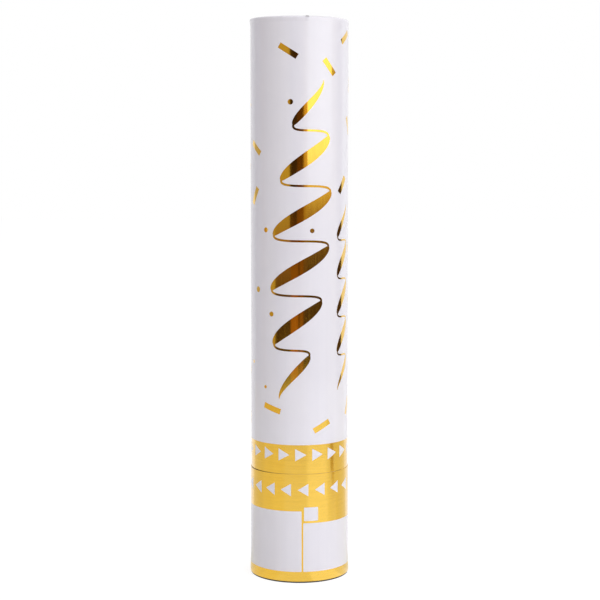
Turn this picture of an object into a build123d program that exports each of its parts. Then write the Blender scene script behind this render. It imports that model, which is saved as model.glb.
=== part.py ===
from build123d import *
import os
from math import atan2, cos, degrees, floor, radians, sin, sqrt

# Twist-action confetti popper, built as separate pieces that fit together.
# The popper stands on its base cap: the origin is the middle of the base on the table,
# +Z runs up the barrel to the muzzle and -Y faces the viewer. All sizes are millimetres.

os.makedirs("parts", exist_ok=True)

# Outside form
rim_height = 285.0          # table to the top of the paper rim
grip_height = 55.9          # table to the top edge of the grip
seam_gap = 0.3              # open line between grip and barrel
rim_round = 0.8             # outer radius of the paper where it turns over the rim
turn_in = 7.0               # length of paper turned down the inside of the muzzle

# Air bottle
bottle_radius = 19.0
bottle_wall = 0.9
bottle_body = 91.0          # foot to the start of the shoulder
heel_radius = 4.0           # rounding between the foot and the side
foot_ring = 2.0             # flat ring that the bottle stands on
punt_rise = 5.0             # height of the dome pressed into the bottom
shoulder_radius = 12.0
neck_fillet = 4.0
neck_length = 9.0
lip_overhang = 1.0          # how far the rolled lip stands out from the neck
lip_height = 2.2
fill_hole_radius = 2.5

# Rolled cardboard tubes and their paper
bottle_clearance = 2.4      # air between the bottle and the guide sleeve
sleeve_wall = 1.4
turning_clearance = 0.2     # the grip turns on the guide sleeve with this gap
barrel_wall = 1.8
barrel_paper = 0.2
grip_wall = 2.1
grip_paper = 0.3
sleeve_spare = 4.0          # gap between the base cap and the lower end of the sleeve

# Base cap
cap_lip = 0.8               # thickness of the lip under the grip tube
cap_lip_inset = 0.4         # the lip stays this far inside the paper
cap_recess = 1.2            # hollow under the base, so that it stands on its rim
cap_foot_width = 4.0
cap_floor = 2.0
cap_skirt = 12.0            # length of the skirt inside the grip tube
cap_skirt_wall = 1.2
cap_fit = 0.1               # gap between the skirt and the tube
foot_flare = 0.35           # how far the cap spreads the end of the tube
socket_clearance = 0.15     # gap between the bottle and its socket
socket_wall = 1.5
socket_height = 8.0
cap_rib_count = 12
cap_rib_width = 1.2

# Fill bung
bung_fit = 0.05
bung_flange = 2.0           # how far both heads stand out from the stem
bung_head = 1.3             # thickness of each head
bung_gap = 0.1

# Valve seat, gasket and release plug
plug_radius = 5.85
plug_clearance = 0.15
seat_wall = 1.5
seat_fit = 0.1
seat_flange = 1.6
seat_depth = 9.5            # length of the bush inside the neck
seat_inset = 0.3            # gasket and flange stay this far inside the lip
gasket_thickness = 1.0
plug_head_gap = 0.3         # gap between the plug head and the seat flange
plug_head_step = 1.35       # the head is this much wider than the shaft
plug_head_rise = 4.0        # head above the top of the wings
plug_nose = 2.0             # length of the taper at the lower end
ring_section = 0.9          # section radius of each O-ring
ring_gap = 0.05             # around each O-ring
ring_spacing = 4.4          # between the two O-rings
ring_cover = 2.2            # from the seat's top to the upper O-ring

# Twist release
twist_angle = 75.0
plug_lift = 4.0             # rise of the plug over the twist
wing_count = 2
wing_radius = 1.9
wing_end_gap = 0.2          # the wing tips stay this far inside the cage wall
slot_clearance = 0.4        # above and below a wing in its ramp slot
slot_floor = 1.6            # collar left below the slots
slot_roof = 2.4             # collar above the slots
collar_bore_gap = 0.4       # around the plug head
collar_wall = 4.9
collar_neck_gap = 0.15      # around the bottle neck and its lip
collar_seat_gap = 0.05      # above the seat flange
collar_rise = 0.3           # from the end of the neck fillet to the collar
collar_web = 2.4
collar_rim = 3.4            # height of the thrust rim
collar_rim_width = 1.8
collar_rim_gap = 0.5        # between the thrust rim and the bore
thrust_gap = 0.3            # above and below the thrust rim

# Release cage and gas diffuser
cage_fit = 0.1              # glue gap in the bore
cage_gap = 0.7              # between the collar and the cage wall
cage_wall = 2.0
cage_flange = 2.2
key_clearance = 0.25        # on each side of a wing in its keyway
key_start = 2.5             # keyways begin this far below the wings at rest
plug_flight = 14.0          # room above the plug once the wings are free
cage_rib_count = 8
cage_rib_width = 1.4
window_width = 6.0
window_height = 11.0
window_drop = 4.0           # from the cage top to its air windows
diffuser_thickness = 2.0
diffuser_hole = 1.6         # radius of each hole
diffuser_rings = 2          # rings of holes inside the cage wall
holes_per_ring = 6          # holes in the first ring, and added for each further one
outer_holes = 16            # holes over the ribs' bays

# Wad, confetti and cover
wad_gap = 0.4               # between the wad and the turned-in paper
wad_height = 8.0
wad_plate = 2.0
wad_wall = 1.4
wad_seat = 0.1              # between the diffuser and the wad
charge_gap = 0.7            # between the slips and the turned-in paper
slip_length = 38.0
slip_width = 17.0
slip_gap = 0.3              # between neighbouring bundles
slip_stack = 3.1            # thickness of one packet of slips in a bundle
slip_stagger = 0.4          # packets stand up to this much higher than others
tier_turn = 60.0            # each tier is turned against the one below
cover_proud = 0.7           # crown of the cover above the rim
cover_depth = 8.7
cover_plate = 1.0
cover_wall = 0.9
cover_gap = 0.2             # between the cover and the turned-in paper
cover_round = 0.5
headspace = 1.5             # least height left between the slips and the cover skirt

# Radii that follow from the sizes above, from the inside out
sleeve_bore = bottle_radius + bottle_clearance
sleeve_radius = sleeve_bore + sleeve_wall
bore_radius = sleeve_radius + turning_clearance
barrel_tube_radius = bore_radius + barrel_wall
barrel_radius = barrel_tube_radius + barrel_paper
grip_tube_radius = bore_radius + grip_wall
grip_radius = grip_tube_radius + grip_paper
muzzle_radius = bore_radius - barrel_paper
seat_bore = plug_radius + plug_clearance
seat_radius = seat_bore + seat_wall
neck_bore = seat_radius + seat_fit
neck_radius = neck_bore + bottle_wall
lip_radius = neck_radius + lip_overhang
plug_head_radius = plug_radius + plug_head_step
collar_bore = plug_head_radius + collar_bore_gap
collar_radius = collar_bore + collar_wall
cage_bore = collar_radius + cage_gap
cage_radius = cage_bore + cage_wall
wing_reach = cage_radius - wing_end_gap

# Heights that follow from the sizes above, from the table up
cap_floor_top = cap_recess + cap_floor
cap_top = cap_lip + cap_skirt
sleeve_bottom = cap_top + sleeve_spare
barrel_bottom = grip_height + seam_gap
tube_top = rim_height - barrel_paper
shoulder_height = cap_floor_top + bottle_body
shoulder_axis = bottle_radius - shoulder_radius
fillet_axis = neck_radius + neck_fillet
shoulder_rise = sqrt((shoulder_radius + neck_fillet) ** 2 - (fillet_axis - shoulder_axis) ** 2)
neck_start = shoulder_height + shoulder_rise
neck_top = neck_start + neck_length
collar_bottom = neck_start + collar_rise
collar_rim_top = collar_bottom + collar_rim
sleeve_top = collar_bottom - thrust_gap
cage_bottom = collar_rim_top + thrust_gap
gasket_top = neck_top + gasket_thickness
seat_top = gasket_top + seat_flange
ledge_height = seat_top + collar_seat_gap
slot_half = wing_radius + slot_clearance
wing_height = ledge_height + slot_floor + slot_half
collar_top = wing_height + plug_lift + slot_half + slot_roof
plug_top = wing_height + wing_radius + plug_head_rise
cage_top = plug_top + plug_lift + plug_flight
diffuser_top = cage_top + diffuser_thickness
wad_bottom = diffuser_top + wad_seat
wad_top = wad_bottom + wad_height
cover_top = rim_height + cover_proud
cover_bottom = cover_top - cover_depth
charge_bottom = wad_top + wad_seat
tier_pitch = slip_length + slip_stagger + slip_gap
tier_count = floor((cover_bottom - headspace - charge_bottom) / tier_pitch)

# Barrel tube: the cardboard core, with the top edge rounded under the paper
with BuildPart() as barrel_tube:
    with BuildSketch(Plane.XY.offset(barrel_bottom)):
        Circle(barrel_tube_radius)
        Circle(bore_radius, mode=Mode.SUBTRACT)
    extrude(amount=tube_top - barrel_bottom)
    rim_edges = barrel_tube.edges().filter_by(GeomType.CIRCLE).group_by(Axis.Z)[-1]
    fillet(rim_edges, rim_round - barrel_paper)
barrel_tube.part.label = "barrel_tube"
export_step(barrel_tube.part, "parts/barrel_tube.step")

# Barrel wrap: printed paper down the outside, over the rim and back down the bore
with BuildPart() as barrel_wrap:
    with BuildSketch(Plane.XZ):
        with BuildLine():
            Line((barrel_tube_radius, barrel_bottom), (barrel_radius, barrel_bottom))
            Line((barrel_radius, barrel_bottom), (barrel_radius, rim_height - rim_round))
            CenterArc((barrel_radius - rim_round, rim_height - rim_round), rim_round, 0, 90)
            Line((barrel_radius - rim_round, rim_height), (muzzle_radius + rim_round, rim_height))
            CenterArc((muzzle_radius + rim_round, rim_height - rim_round), rim_round, 90, 90)
            Line((muzzle_radius, rim_height - rim_round), (muzzle_radius, rim_height - turn_in))
            Line((muzzle_radius, rim_height - turn_in), (bore_radius, rim_height - turn_in))
            Line((bore_radius, rim_height - turn_in), (bore_radius, rim_height - rim_round))
            CenterArc(
                (muzzle_radius + rim_round, rim_height - rim_round), rim_round - barrel_paper, 180, -90
            )
            Line((muzzle_radius + rim_round, tube_top), (barrel_radius - rim_round, tube_top))
            CenterArc(
                (barrel_radius - rim_round, rim_height - rim_round), rim_round - barrel_paper, 90, -90
            )
            Line((barrel_tube_radius, rim_height - rim_round), (barrel_tube_radius, barrel_bottom))
        make_face()
    revolve(axis=Axis.Z)
barrel_wrap.part.label = "barrel_wrap"
export_step(barrel_wrap.part, "parts/barrel_wrap.step")

# Guide sleeve: inner tube glued in the barrel, on which the grip turns
with BuildPart() as guide_sleeve:
    with BuildSketch(Plane.XY.offset(sleeve_bottom)):
        Circle(sleeve_radius)
        Circle(sleeve_bore, mode=Mode.SUBTRACT)
    extrude(amount=sleeve_top - sleeve_bottom)
guide_sleeve.part.label = "guide_sleeve"
export_step(guide_sleeve.part, "parts/guide_sleeve.step")

# Grip tube: cardboard core, spread at its foot by the base cap
with BuildPart() as grip_tube:
    with BuildSketch(Plane.XZ):
        with BuildLine():
            Line((bore_radius, grip_height), (grip_tube_radius, grip_height))
            Line((grip_tube_radius, grip_height), (grip_tube_radius, cap_top))
            TangentArc(
                (grip_tube_radius, cap_top), (grip_tube_radius + foot_flare, cap_lip), tangent=(0, -1)
            )
            Line((grip_tube_radius + foot_flare, cap_lip), (bore_radius + foot_flare, cap_lip))
            TangentArc((bore_radius, cap_top), (bore_radius + foot_flare, cap_lip), tangent=(0, -1))
            Line((bore_radius, cap_top), (bore_radius, grip_height))
        make_face()
    revolve(axis=Axis.Z)
grip_tube.part.label = "grip_tube"
export_step(grip_tube.part, "parts/grip_tube.step")

# Grip wrap: foil paper on the grip tube
with BuildPart() as grip_wrap:
    with BuildSketch(Plane.XZ):
        with BuildLine():
            Line((grip_tube_radius, grip_height), (grip_radius, grip_height))
            Line((grip_radius, grip_height), (grip_radius, cap_top))
            TangentArc((grip_radius, cap_top), (grip_radius + foot_flare, cap_lip), tangent=(0, -1))
            Line((grip_radius + foot_flare, cap_lip), (grip_tube_radius + foot_flare, cap_lip))
            TangentArc(
                (grip_tube_radius, cap_top), (grip_tube_radius + foot_flare, cap_lip), tangent=(0, -1)
            )
            Line((grip_tube_radius, cap_top), (grip_tube_radius, grip_height))
        make_face()
    revolve(axis=Axis.Z)
grip_wrap.part.label = "grip_wrap"
export_step(grip_wrap.part, "parts/grip_wrap.step")

# Base cap: lip under the tube, skirt inside it, ribbed socket for the bottle
cap_lip_radius = grip_radius + foot_flare - cap_lip_inset
cap_skirt_radius = bore_radius - cap_fit
cap_skirt_bore = cap_skirt_radius - cap_skirt_wall
socket_bore = bottle_radius + socket_clearance
socket_radius = socket_bore + socket_wall
with BuildPart() as base_cap:
    with BuildSketch(Plane.XZ):
        with BuildLine():
            Line((0, cap_recess), (cap_lip_radius - cap_foot_width, cap_recess))
            Line((cap_lip_radius - cap_foot_width, cap_recess), (cap_lip_radius - cap_foot_width, 0))
            Line((cap_lip_radius - cap_foot_width, 0), (cap_lip_radius, 0))
            Line((cap_lip_radius, 0), (cap_lip_radius, cap_lip))
            Line((cap_lip_radius, cap_lip), (cap_skirt_radius + foot_flare, cap_lip))
            TangentArc(
                (cap_skirt_radius, cap_top), (cap_skirt_radius + foot_flare, cap_lip), tangent=(0, -1)
            )
            Line((cap_skirt_radius, cap_top), (cap_skirt_bore, cap_top))
            Line((cap_skirt_bore, cap_top), (cap_skirt_bore, cap_floor_top))
            Line((cap_skirt_bore, cap_floor_top), (0, cap_floor_top))
            Line((0, cap_floor_top), (0, cap_recess))
        make_face()
    revolve(axis=Axis.Z)
    with BuildSketch(Plane.XY.offset(cap_floor_top)):
        Circle(socket_radius)
        Circle(socket_bore, mode=Mode.SUBTRACT)
        with PolarLocations((socket_radius + cap_skirt_bore) / 2, cap_rib_count):
            Rectangle(cap_skirt_bore - socket_radius + socket_wall, cap_rib_width)
    extrude(amount=socket_height)
base_cap.part.label = "base_cap"
export_step(base_cap.part, "parts/base_cap.step")

# Air bottle: thin shell with a domed bottom, a rounded shoulder and a rolled lip
dome_radius = bottle_radius - heel_radius - foot_ring
dome_curve = (dome_radius**2 + punt_rise**2) / (2 * punt_rise)
dome_axis = cap_floor_top + punt_rise - dome_curve
dome_inner_curve = dome_curve + bottle_wall
inner_floor = cap_floor_top + bottle_wall
heel_axis = bottle_radius - heel_radius
heel_height = cap_floor_top + heel_radius
dome_inner_radius = sqrt(dome_inner_curve**2 - (inner_floor - dome_axis) ** 2)
dome_foot_angle = degrees(atan2(cap_floor_top - dome_axis, dome_radius))
dome_inner_angle = degrees(atan2(inner_floor - dome_axis, dome_inner_radius))
hole_lower = sqrt(dome_curve**2 - fill_hole_radius**2)
hole_upper = sqrt(dome_inner_curve**2 - fill_hole_radius**2)
hole_angle = degrees(atan2(hole_lower, fill_hole_radius))
hole_inner_angle = degrees(atan2(hole_upper, fill_hole_radius))
shoulder_angle = degrees(atan2(shoulder_rise, fillet_axis - shoulder_axis))
shoulder_inner = shoulder_radius - bottle_wall
fillet_inner = neck_fillet + bottle_wall
with BuildPart() as air_bottle:
    with BuildSketch(Plane.XZ):
        with BuildLine():
            CenterArc((0, dome_axis), dome_curve, hole_angle, dome_foot_angle - hole_angle)
            Line((dome_radius, cap_floor_top), (heel_axis, cap_floor_top))
            CenterArc((heel_axis, heel_height), heel_radius, -90, 90)
            Line((bottle_radius, heel_height), (bottle_radius, shoulder_height))
            CenterArc((shoulder_axis, shoulder_height), shoulder_radius, 0, shoulder_angle)
            CenterArc(
                (fillet_axis, neck_start), neck_fillet, shoulder_angle - 180, -shoulder_angle
            )
            Line((neck_radius, neck_start), (neck_radius, neck_top - lip_height))
            Line((neck_radius, neck_top - lip_height), (lip_radius, neck_top - lip_height))
            Line((lip_radius, neck_top - lip_height), (lip_radius, neck_top))
            Line((lip_radius, neck_top), (neck_bore, neck_top))
            Line((neck_bore, neck_top), (neck_bore, neck_start))
            CenterArc((fillet_axis, neck_start), fillet_inner, 180, shoulder_angle)
            CenterArc(
                (shoulder_axis, shoulder_height), shoulder_inner, shoulder_angle, -shoulder_angle
            )
            Line((bottle_radius - bottle_wall, shoulder_height), (bottle_radius - bottle_wall, heel_height))
            CenterArc((heel_axis, heel_height), heel_radius - bottle_wall, 0, -90)
            Line((heel_axis, inner_floor), (dome_inner_radius, inner_floor))
            CenterArc(
                (0, dome_axis), dome_inner_curve, dome_inner_angle, hole_inner_angle - dome_inner_angle
            )
            Line((fill_hole_radius, dome_axis + hole_upper), (fill_hole_radius, dome_axis + hole_lower))
        make_face()
    revolve(axis=Axis.Z)
air_bottle.part.label = "air_bottle"
export_step(air_bottle.part, "parts/air_bottle.step")

# Fill bung: rubber plug with a head on each side of the bottle's dome
stem_radius = fill_hole_radius - bung_fit
bung_radius = stem_radius + bung_flange
bung_lower = dome_axis + sqrt(dome_curve**2 - bung_radius**2) - bung_gap
bung_upper = dome_axis + dome_inner_curve + bung_gap
with BuildPart() as fill_bung:
    with BuildSketch(Plane.XZ):
        with BuildLine():
            Polyline(
                (0, bung_lower - bung_head),
                (bung_radius, bung_lower - bung_head),
                (bung_radius, bung_lower),
                (stem_radius, bung_lower),
                (stem_radius, bung_upper),
                (bung_radius, bung_upper),
                (stem_radius, bung_upper + bung_head),
                (0, bung_upper + bung_head),
                close=True,
            )
        make_face()
    revolve(axis=Axis.Z)
fill_bung.part.label = "fill_bung"
export_step(fill_bung.part, "parts/fill_bung.step")

# Neck gasket: flat rubber ring on the bottle's lip
with BuildPart() as neck_gasket:
    with BuildSketch(Plane.XY.offset(neck_top)):
        Circle(lip_radius - seat_inset)
        Circle(neck_bore, mode=Mode.SUBTRACT)
    extrude(amount=gasket_thickness)
neck_gasket.part.label = "neck_gasket"
export_step(neck_gasket.part, "parts/neck_gasket.step")

# Valve seat: flanged bush in the neck, in which the plug slides
with BuildPart() as valve_seat:
    with BuildSketch(Plane.XZ):
        with BuildLine():
            Polyline(
                (seat_bore, neck_top - seat_depth),
                (seat_radius, neck_top - seat_depth),
                (seat_radius, gasket_top),
                (lip_radius - seat_inset, gasket_top),
                (lip_radius - seat_inset, seat_top),
                (seat_bore, seat_top),
                close=True,
            )
        make_face()
    revolve(axis=Axis.Z)
valve_seat.part.label = "valve_seat"
export_step(valve_seat.part, "parts/valve_seat.step")

# Cutter for one J slot: a helical ramp with round ends, open to the top at its high end
slot_middle = (collar_bore + collar_radius) / 2
slot_span = 2 * collar_wall
exit_angle = radians(twist_angle)
exit_way = (cos(exit_angle), sin(exit_angle), 0)
with BuildPart() as slot_cutter:
    with BuildLine() as slot_track:
        Helix(plug_lift * 360 / twist_angle, plug_lift, slot_middle, center=(0, 0, wing_height))
    with BuildSketch(Plane((slot_middle, 0, wing_height), x_dir=(1, 0, 0), z_dir=(0, -1, 0))):
        Rectangle(slot_span, 2 * slot_half)
    sweep(path=slot_track.line, is_frenet=True)
    with BuildSketch(Plane((slot_middle - slot_span / 2, 0, wing_height), z_dir=(1, 0, 0))):
        Circle(slot_half)
    extrude(amount=slot_span)
    with BuildSketch(Plane((0, 0, wing_height + plug_lift), x_dir=(0, 0, 1), z_dir=exit_way)):
        Circle(slot_half)
        with Locations((collar_top / 2, 0)):
            Rectangle(collar_top, 2 * slot_half)
    extrude(amount=slot_middle + slot_span / 2)

# Latch collar: snaps over the bottle's lip and holds the plug's wings in its two J slots
collar_rim_radius = bore_radius - collar_rim_gap
collar_groove = lip_radius + collar_neck_gap
with BuildPart() as latch_collar:
    with BuildSketch(Plane.XZ):
        with BuildLine():
            Polyline(
                (neck_radius + collar_neck_gap, collar_bottom),
                (collar_rim_radius, collar_bottom),
                (collar_rim_radius, collar_rim_top),
                (collar_rim_radius - collar_rim_width, collar_rim_top),
                (collar_rim_radius - collar_rim_width, collar_bottom + collar_web),
                (collar_radius, collar_bottom + collar_web),
                (collar_radius, collar_top),
                (collar_bore, collar_top),
                (collar_bore, ledge_height),
                (collar_groove, ledge_height),
                (collar_groove, neck_top - lip_height - collar_neck_gap),
                (neck_radius + collar_neck_gap, neck_top - lip_height - collar_neck_gap),
                close=True,
            )
        make_face()
    revolve(axis=Axis.Z)
    with PolarLocations(0, wing_count):
        add(slot_cutter.part, mode=Mode.SUBTRACT)
latch_collar.part.label = "latch_collar"
export_step(latch_collar.part, "parts/latch_collar.step")

# Release plug: shaft with two ring grooves, wider head and round wings
plug_bottom = neck_top - seat_depth
plug_head_bottom = seat_top + plug_head_gap
ring_radius = plug_radius + plug_clearance - ring_gap - ring_section
groove_radius = ring_radius - ring_section - ring_gap
groove_half = ring_section + ring_gap
upper_ring = seat_top - ring_cover
lower_ring = upper_ring - ring_spacing
with BuildPart() as release_plug:
    with BuildSketch(Plane.XZ):
        with BuildLine():
            Polyline(
                (0, plug_bottom),
                (groove_radius, plug_bottom),
                (plug_radius, plug_bottom + plug_nose),
                (plug_radius, lower_ring - groove_half),
                (groove_radius, lower_ring - groove_half),
                (groove_radius, lower_ring + groove_half),
                (plug_radius, lower_ring + groove_half),
                (plug_radius, upper_ring - groove_half),
                (groove_radius, upper_ring - groove_half),
                (groove_radius, upper_ring + groove_half),
                (plug_radius, upper_ring + groove_half),
                (plug_radius, plug_head_bottom),
                (plug_head_radius, plug_head_bottom),
                (plug_head_radius, plug_top - plug_nose),
                (plug_radius, plug_top),
                (0, plug_top),
                close=True,
            )
        make_face()
    revolve(axis=Axis.Z)
    for wing in range(wing_count):
        wing_angle = radians(360 * wing / wing_count)
        wing_way = (cos(wing_angle), sin(wing_angle), 0)
        with BuildSketch(Plane((0, 0, wing_height), x_dir=(0, 0, 1), z_dir=wing_way)):
            Circle(wing_radius)
        extrude(amount=wing_reach)
release_plug.part.label = "release_plug"
export_step(release_plug.part, "parts/release_plug.step")

# Lower O-ring on the plug
with BuildPart() as plug_ring_lower:
    with BuildSketch(Plane.XZ):
        with Locations((ring_radius, lower_ring)):
            Circle(ring_section)
    revolve(axis=Axis.Z)
plug_ring_lower.part.label = "plug_ring_lower"
export_step(plug_ring_lower.part, "parts/plug_ring_lower.step")

# Upper O-ring on the plug
with BuildPart() as plug_ring_upper:
    with BuildSketch(Plane.XZ):
        with Locations((ring_radius, upper_ring)):
            Circle(ring_section)
    revolve(axis=Axis.Z)
plug_ring_upper.part.label = "plug_ring_upper"
export_step(plug_ring_upper.part, "parts/plug_ring_upper.step")

# Release cage: flange that the collar pushes against, wall with keyways and air windows, ribs
cage_outer = bore_radius - cage_fit
key_bottom = wing_height - wing_radius - key_start
with BuildPart() as release_cage:
    with BuildSketch(Plane.XY.offset(cage_bottom)):
        Circle(cage_outer)
        Circle(cage_bore, mode=Mode.SUBTRACT)
    extrude(amount=cage_flange)
    with BuildSketch(Plane.XY.offset(cage_bottom + cage_flange)):
        Circle(cage_radius)
        with PolarLocations((cage_bore + cage_outer) / 2, cage_rib_count, 180 / cage_rib_count):
            Rectangle(cage_outer - cage_bore, cage_rib_width)
        Circle(cage_bore, mode=Mode.SUBTRACT)
    extrude(amount=cage_top - cage_bottom - cage_flange)
    with BuildSketch(Plane.YZ):
        with Locations((0, (key_bottom + cage_top) / 2)):
            Rectangle(2 * (wing_radius + key_clearance), cage_top - key_bottom)
    extrude(amount=(cage_radius + cage_outer) / 2, both=True, mode=Mode.SUBTRACT)
    with BuildSketch(Plane.XZ):
        with Locations((0, cage_top - window_drop - window_height / 2)):
            Rectangle(window_width, window_height)
    extrude(amount=(cage_radius + cage_outer) / 2, both=True, mode=Mode.SUBTRACT)
release_cage.part.label = "release_cage"
export_step(release_cage.part, "parts/release_cage.step")

# Gas diffuser: perforated disc glued on the cage
hole_step = (cage_bore - 2 * diffuser_hole) / diffuser_rings
with BuildPart() as gas_diffuser:
    with BuildSketch(Plane.XY.offset(cage_top)):
        Circle(cage_outer)
        Circle(diffuser_hole, mode=Mode.SUBTRACT)
        for ring in range(1, diffuser_rings + 1):
            with PolarLocations(ring * hole_step, ring * holes_per_ring):
                Circle(diffuser_hole, mode=Mode.SUBTRACT)
        with PolarLocations((cage_radius + cage_outer) / 2, outer_holes):
            Circle(diffuser_hole, mode=Mode.SUBTRACT)
    extrude(amount=diffuser_thickness)
gas_diffuser.part.label = "gas_diffuser"
export_step(gas_diffuser.part, "parts/gas_diffuser.step")

# Pusher wad: cup with its open side towards the gas
wad_radius = muzzle_radius - wad_gap
with BuildPart() as pusher_wad:
    with BuildSketch(Plane.XY.offset(wad_bottom)):
        Circle(wad_radius)
    extrude(amount=wad_height)
    with BuildSketch(Plane.XY.offset(wad_bottom)):
        Circle(wad_radius - wad_wall)
    extrude(amount=wad_height - wad_plate, mode=Mode.SUBTRACT)
pusher_wad.part.label = "pusher_wad"
export_step(pusher_wad.part, "parts/pusher_wad.step")

# Confetti: each tier has two wide bundles side by side and two thin ones before and behind
charge_radius = muzzle_radius - charge_gap
bundle_half = sqrt(charge_radius**2 - (slip_width + slip_gap / 2) ** 2)
side_start = bundle_half + slip_gap
side_depth = sqrt(charge_radius**2 - (slip_width / 2) ** 2) - side_start


def bundle_outline(start, depth):
    """Outline of one bundle seen along the slips' width, with the packets at uneven heights."""
    packets = max(1, round(depth / slip_stack))
    step = depth / packets
    lower = []
    upper = []
    for packet in range(packets):
        rise = slip_stagger * (0.5 + 0.5 * sin(2.4 * packet))
        left = start + packet * step
        lower += [(left, rise), (left + step, rise)]
        upper += [(left, slip_length + rise), (left + step, slip_length + rise)]
    return lower + upper[::-1]


with BuildPart() as gold_slips:
    for tier in range(tier_count):
        turn = radians(tier * tier_turn)
        wide = Vector(cos(turn), sin(turn), 0)
        deep = Vector(-sin(turn), cos(turn), 0)
        base = Vector(0, 0, charge_bottom + tier * tier_pitch)
        with BuildSketch(Plane(base + wide * (slip_gap / 2), x_dir=deep, z_dir=wide)):
            Polygon(*bundle_outline(-bundle_half, 2 * bundle_half), align=None)
        extrude(amount=slip_width)
        with BuildSketch(Plane(base - wide * (slip_width / 2), x_dir=deep, z_dir=wide)):
            Polygon(*bundle_outline(side_start, side_depth), align=None)
        extrude(amount=slip_width)
gold_slips.part.label = "gold_slips"
export_step(gold_slips.part, "parts/gold_slips.step")

with BuildPart() as white_slips:
    for tier in range(tier_count):
        turn = radians(tier * tier_turn + 180)
        wide = Vector(cos(turn), sin(turn), 0)
        deep = Vector(-sin(turn), cos(turn), 0)
        base = Vector(0, 0, charge_bottom + tier * tier_pitch)
        with BuildSketch(Plane(base + wide * (slip_gap / 2), x_dir=deep, z_dir=wide)):
            Polygon(*bundle_outline(-bundle_half, 2 * bundle_half), align=None)
        extrude(amount=slip_width)
        with BuildSketch(Plane(base - wide * (slip_width / 2), x_dir=deep, z_dir=wide)):
            Polygon(*bundle_outline(side_start, side_depth), align=None)
        extrude(amount=slip_width)
white_slips.part.label = "white_slips"
export_step(white_slips.part, "parts/white_slips.step")

# Muzzle cover: white cup pressed into the muzzle, crown up
cover_radius = muzzle_radius - cover_gap
with BuildPart() as muzzle_cover:
    with BuildSketch(Plane.XY.offset(cover_bottom)):
        Circle(cover_radius)
    extrude(amount=cover_depth)
    crown_edge = muzzle_cover.edges().group_by(Axis.Z)[-1]
    fillet(crown_edge, cover_round)
    with BuildSketch(Plane.XY.offset(cover_bottom)):
        Circle(cover_radius - cover_wall)
    extrude(amount=cover_depth - cover_plate, mode=Mode.SUBTRACT)
muzzle_cover.part.label = "muzzle_cover"
export_step(muzzle_cover.part, "parts/muzzle_cover.step")
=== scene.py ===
# %% [markdown]
# # A twist-action confetti popper
# The popper is a tall paper-covered tube that stands on a short gold grip. The CAD model already holds
# every rigid piece at its real size, so this lesson only adds what CAD does not show: the printed foil,
# the folded paper, the loose slips, the finish of each surface, and a small studio to see them in.
# First the imported model is loaded as a fixed frame.

# %% Load the fixed frame
import random
from math import ceil, copysign, cos, floor, hypot, pi, radians, sin, sqrt, tau

import bmesh
import bpy
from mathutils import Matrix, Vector
from mathutils.geometry import tessellate_polygon


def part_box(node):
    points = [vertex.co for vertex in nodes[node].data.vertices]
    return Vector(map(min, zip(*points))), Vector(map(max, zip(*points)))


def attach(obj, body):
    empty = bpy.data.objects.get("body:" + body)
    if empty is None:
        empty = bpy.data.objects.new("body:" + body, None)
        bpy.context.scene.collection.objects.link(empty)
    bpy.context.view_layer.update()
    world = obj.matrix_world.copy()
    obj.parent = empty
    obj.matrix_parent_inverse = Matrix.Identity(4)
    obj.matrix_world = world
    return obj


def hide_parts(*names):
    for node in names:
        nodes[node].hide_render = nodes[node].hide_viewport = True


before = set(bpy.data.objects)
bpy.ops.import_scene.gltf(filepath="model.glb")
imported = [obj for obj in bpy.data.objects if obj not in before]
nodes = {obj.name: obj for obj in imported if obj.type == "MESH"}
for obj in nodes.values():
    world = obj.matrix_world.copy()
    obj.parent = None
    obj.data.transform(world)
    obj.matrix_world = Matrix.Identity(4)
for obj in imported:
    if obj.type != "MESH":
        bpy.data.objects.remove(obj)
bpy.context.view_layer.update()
scene = bpy.context.scene
scene.view_settings.view_transform = "Standard"

# %% [markdown]
# ## Sizes from the solids
# Print and folded paper have to lie exactly on the tubes. Radii and heights that are typed in once more
# would be left behind by a change in CAD, so they are measured on the loaded solids.

# %% Measure the tubes
MM = 0.001  # one millimetre, in metres


def measure(node):
    """Radius, lowest and highest height of a round solid, in mm."""
    low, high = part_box(node)
    return [round(size / MM, 3) for size in (high.x, low.z, high.z)]


BARREL, BARREL_FOOT, RIM = measure("barrel_wrap")
FLARED, GRIP_FOOT, GRIP_TOP = measure("grip_wrap")
print("barrel radius", BARREL, "from", BARREL_FOOT, "to", RIM, "mm, grip from", GRIP_FOOT, "to", GRIP_TOP)

# %% [markdown]
# ## Camera
# The tube is seen from somewhat above its middle, from about 0.8 m away. A long lens keeps the sides
# nearly parallel, yet the rim and the bands still curve as they do to the eye. The camera only tilts and
# has no shift, so the barrel narrows very slightly towards its foot.

# %% Place the camera
CAMERA_PLACE = (0.0003, -0.7872, 0.2196)  # in metres
LOOK_DOWN = 5.6  # tilt below the horizon, in degrees
LENS, SENSOR = 91.8, 36.0  # focal length and width of the sensor, in mm
camera_data = bpy.data.cameras.new("camera")
camera_data.sensor_width = SENSOR
camera_data.lens = LENS
camera = bpy.data.objects.new("camera", camera_data)
camera.location = CAMERA_PLACE
camera.rotation_euler = (radians(90.0 - LOOK_DOWN), 0.0, 0.0)
scene.collection.objects.link(camera)
scene.camera = camera
print("camera", CAMERA_PLACE, "lens", LENS)

# %% [markdown]
# ## Helpers for nodes
# Materials here are all procedural, so many nodes are made in code. One helper makes a node, sets its
# options and fills its inputs: a socket given as a value is linked, anything else is set as a plain number.
# Nodes that come up again and again get short forms of their own.

# %% Node helpers
def add_node(tree, kind, inputs=None, **options):
    """Make a shader node; inputs maps a socket's name or index to a value or to another socket."""
    node = tree.nodes.new("ShaderNode" + kind)
    for option, value in options.items():
        setattr(node, option, value)
    for key, value in (inputs or {}).items():
        if isinstance(value, bpy.types.NodeSocket):
            tree.links.new(value, node.inputs[key])
        else:
            node.inputs[key].default_value = value
    return node


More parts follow.
